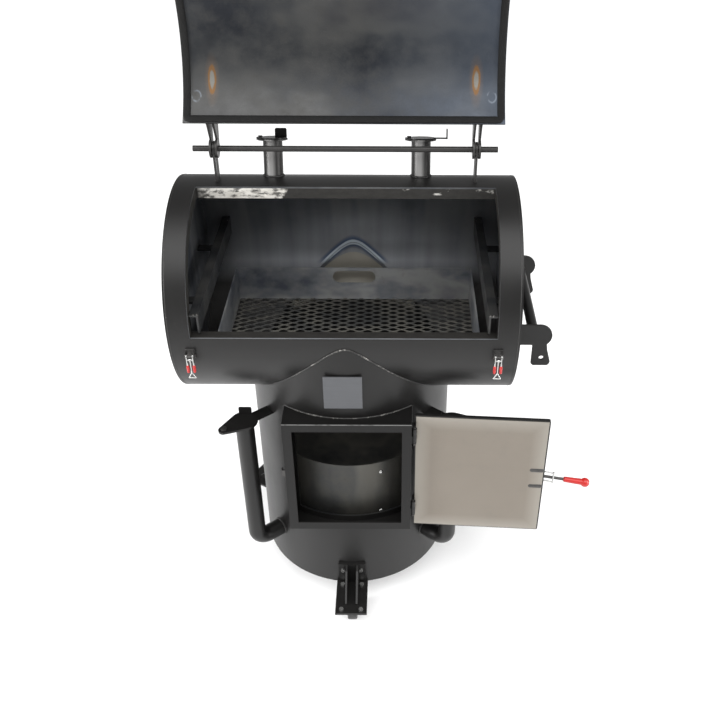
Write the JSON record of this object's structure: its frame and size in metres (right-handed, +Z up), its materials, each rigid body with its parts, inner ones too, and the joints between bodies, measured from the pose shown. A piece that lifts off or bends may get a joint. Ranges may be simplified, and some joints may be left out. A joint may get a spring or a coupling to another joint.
{
  "type": "offset smoker",
  "caption": "Charcoal smoker with a horizontal cook barrel on a vertical fire drum, swing lid, framed fire door, mesh tray, exhaust stacks, air intakes and casters.",
  "frame": {"origin": "on the fire drum's axis, at the underside of its flat bottom plate", "axes": "+Z up the drum's axis, -Y towards the fire door and the cook mouth, X along the barrel, with the side handle at +X"},
  "size_m": [1.1894, 0.743, 2.0186],
  "materials": {
    "black_coat": "satin high-heat charcoal coating with soft highlights",
    "raw_steel": "bare hot-rolled steel, mottled, with streaks and heat tint",
    "stainless": "warm grey stainless sheet, fine brushed grain",
    "steel_hardware": "zinc-plated hardware, lightly worn",
    "chrome": "bright plated",
    "red_vinyl": "dipped red vinyl grip, soft gloss",
    "badge_grey": "plain satin grey plate, blank",
    "black_felt": "black high-heat seal strip",
    "caster_rubber": "black hard rubber"
  },
  "bodies": {
    "root": {"barrel": "black_coat", "end_caps": "black_coat", "mouth_lip": "raw_steel", "drum": "black_coat", "drum_floor": "black_coat", "intake_pipe_left": "black_coat", "intake_pipe_right": "black_coat", "intake_flanges": "black_coat", "exhaust_stack_left": "black_coat", "exhaust_stack_right": "black_coat", "damper_bolts": "steel_hardware", "hinge_rod": "black_coat", "rod_straps": "black_coat", "latch_bases": "chrome", "door_frame": "black_coat", "frame_knuckles": "black_coat", "hinge_pins": "steel_hardware", "clamp_catch": "chrome", "fire_grate": "raw_steel", "slide_rails": "raw_steel", "rail_brackets": "raw_steel", "side_handle_plates": "black_coat", "side_handle_bar": "black_coat", "badge_plate": "badge_grey", "caster_brackets": "black_coat", "bracket_bolts": "black_coat", "caster_tops": "black_coat"},
    "lid": {"lid_shell": "black_coat", "lid_gasket": "black_felt", "lid_ears": "black_coat", "lid_handle": "black_coat", "lid_keepers": "black_coat"},
    "fire_door": {"door_liner": "stainless", "door_skin": "black_coat", "door_knuckles": "black_coat", "clamp_base": "steel_hardware", "clamp_beads": "steel_hardware"},
    "clamp": {"clamp_arm": "steel_hardware", "clamp_grip": "red_vinyl"},
    "clamp_hook": {"clamp_hook": "chrome"},
    "latch_left": {"latch_handle_left": "chrome", "latch_grips_left": "red_vinyl"},
    "latch_right": {"latch_handle_right": "chrome", "latch_grips_right": "red_vinyl"},
    "latch_hook_left": {"latch_hook_left": "chrome"},
    "latch_hook_right": {"latch_hook_right": "chrome"},
    "stack_damper_left": {"stack_damper_left": "black_coat"},
    "stack_damper_right": {"stack_damper_right": "black_coat"},
    "intake_damper_left": {"intake_damper_left": "black_coat"},
    "intake_damper_right": {"intake_damper_right": "black_coat"},
    "tray": {"tray_frame": "raw_steel", "tray_mesh": "raw_steel"},
    "basket": {"charcoal_basket": "raw_steel"},
    "caster_fork_front": {"caster_fork_front": "black_coat"},
    "caster_wheel_front": {"caster_wheel_front": "caster_rubber"},
    "caster_fork_rear_left": {"caster_fork_rear_left": "black_coat"},
    "caster_wheel_rear_left": {"caster_wheel_rear_left": "caster_rubber"},
    "caster_fork_rear_right": {"caster_fork_rear_right": "black_coat"},
    "caster_wheel_rear_right": {"caster_wheel_rear_right": "caster_rubber"}
  },
  "joints": [
    {"name": "lid_hinge", "type": "hinge", "parent": "root", "child": "lid", "pos_m": [0, 0.033, 1.358], "axis": [1, 0, 0], "range_deg": [0, 138]},
    {"name": "fire_door_hinge", "type": "hinge", "parent": "root", "child": "fire_door", "pos_m": [0.192, -0.318, 0.476], "axis": [0, 0, -1], "range_deg": [0, 176.4]},
    {"name": "clamp_pivot", "type": "hinge", "parent": "fire_door", "child": "clamp", "pos_m": [0.54482, -0.30012, 0.476], "axis": [0, 0, 1], "range_deg": [0, 135]},
    {"name": "clamp_hook_pivot", "type": "hinge", "parent": "clamp", "child": "clamp_hook", "pos_m": [0.56178, -0.30119, 0.476], "axis": [0, 0, -1], "range_deg": [0, 20]},
    {"name": "latch_pivot_left", "type": "hinge", "parent": "root", "child": "latch_left", "pos_m": [-0.414, -0.318, 0.916], "axis": [-1, 0, 0], "range_deg": [0, 75]},
    {"name": "latch_hook_pivot_left", "type": "hinge", "parent": "latch_left", "child": "latch_hook_left", "pos_m": [-0.414, -0.318, 0.904], "axis": [-1, 0, 0], "range_deg": [0, 90]},
    {"name": "stack_damper_pivot_left", "type": "hinge", "parent": "root", "child": "stack_damper_left", "pos_m": [-0.241, 0.11491, 1.35444], "axis": [0, 0.2823, 0.9593], "range_deg": [0, 90]},
    {"name": "intake_damper_pivot_left", "type": "hinge", "parent": "root", "child": "intake_damper_left", "pos_m": [-0.35671, -0.28886, 0.63], "axis": [0, 0, 1], "range_deg": [0, 80]},
    {"name": "latch_pivot_right", "type": "hinge", "parent": "root", "child": "latch_right", "pos_m": [0.414, -0.318, 0.916], "axis": [-1, 0, 0], "range_deg": [0, 75]},
    {"name": "latch_hook_pivot_right", "type": "hinge", "parent": "latch_right", "child": "latch_hook_right", "pos_m": [0.414, -0.318, 0.904], "axis": [-1, 0, 0], "range_deg": [0, 90]},
    {"name": "stack_damper_pivot_right", "type": "hinge", "parent": "root", "child": "stack_damper_right", "pos_m": [0.173, 0.11491, 1.35444], "axis": [0, 0.2823, 0.9593], "range_deg": [0, 90]},
    {"name": "intake_damper_pivot_right", "type": "hinge", "parent": "root", "child": "intake_damper_right", "pos_m": [0.37186, -0.24606, 0.63], "axis": [0, 0, -1], "range_deg": [0, 80]},
    {"name": "caster_swivel_front", "type": "hinge", "parent": "root", "child": "caster_fork_front", "pos_m": [0, -0.371, -0.015], "axis": [0, 0, 1], "continuous": true},
    {"name": "caster_roll_front", "type": "hinge", "parent": "caster_fork_front", "child": "caster_wheel_front", "pos_m": [0, -0.333, -0.073], "axis": [1, 0, 0], "continuous": true},
    {"name": "caster_swivel_rear_left", "type": "hinge", "parent": "root", "child": "caster_fork_rear_left", "pos_m": [-0.32129, 0.1855, -0.015], "axis": [0, 0, 1], "continuous": true},
    {"name": "caster_roll_rear_left", "type": "hinge", "parent": "caster_fork_rear_left", "child": "caster_wheel_rear_left", "pos_m": [-0.28839, 0.2045, -0.073], "axis": [0.5, -0.866, 0], "continuous": true},
    {"name": "caster_swivel_rear_right", "type": "hinge", "parent": "root", "child": "caster_fork_rear_right", "pos_m": [0.32129, 0.1855, -0.015], "axis": [0, 0, 1], "continuous": true},
    {"name": "caster_roll_rear_right", "type": "hinge", "parent": "caster_fork_rear_right", "child": "caster_wheel_rear_right", "pos_m": [0.34572, 0.21461, -0.073], "axis": [0.766, -0.6428, 0], "continuous": true},
    {"name": "tray_lift", "type": "slide", "parent": "root", "child": "tray", "axis": [0, 0, 1], "range_m": [0, 0.25]},
    {"name": "basket_lift", "type": "slide", "parent": "root", "child": "basket", "axis": [0, 0, 1], "range_m": [0, 0.25]}
  ]
}
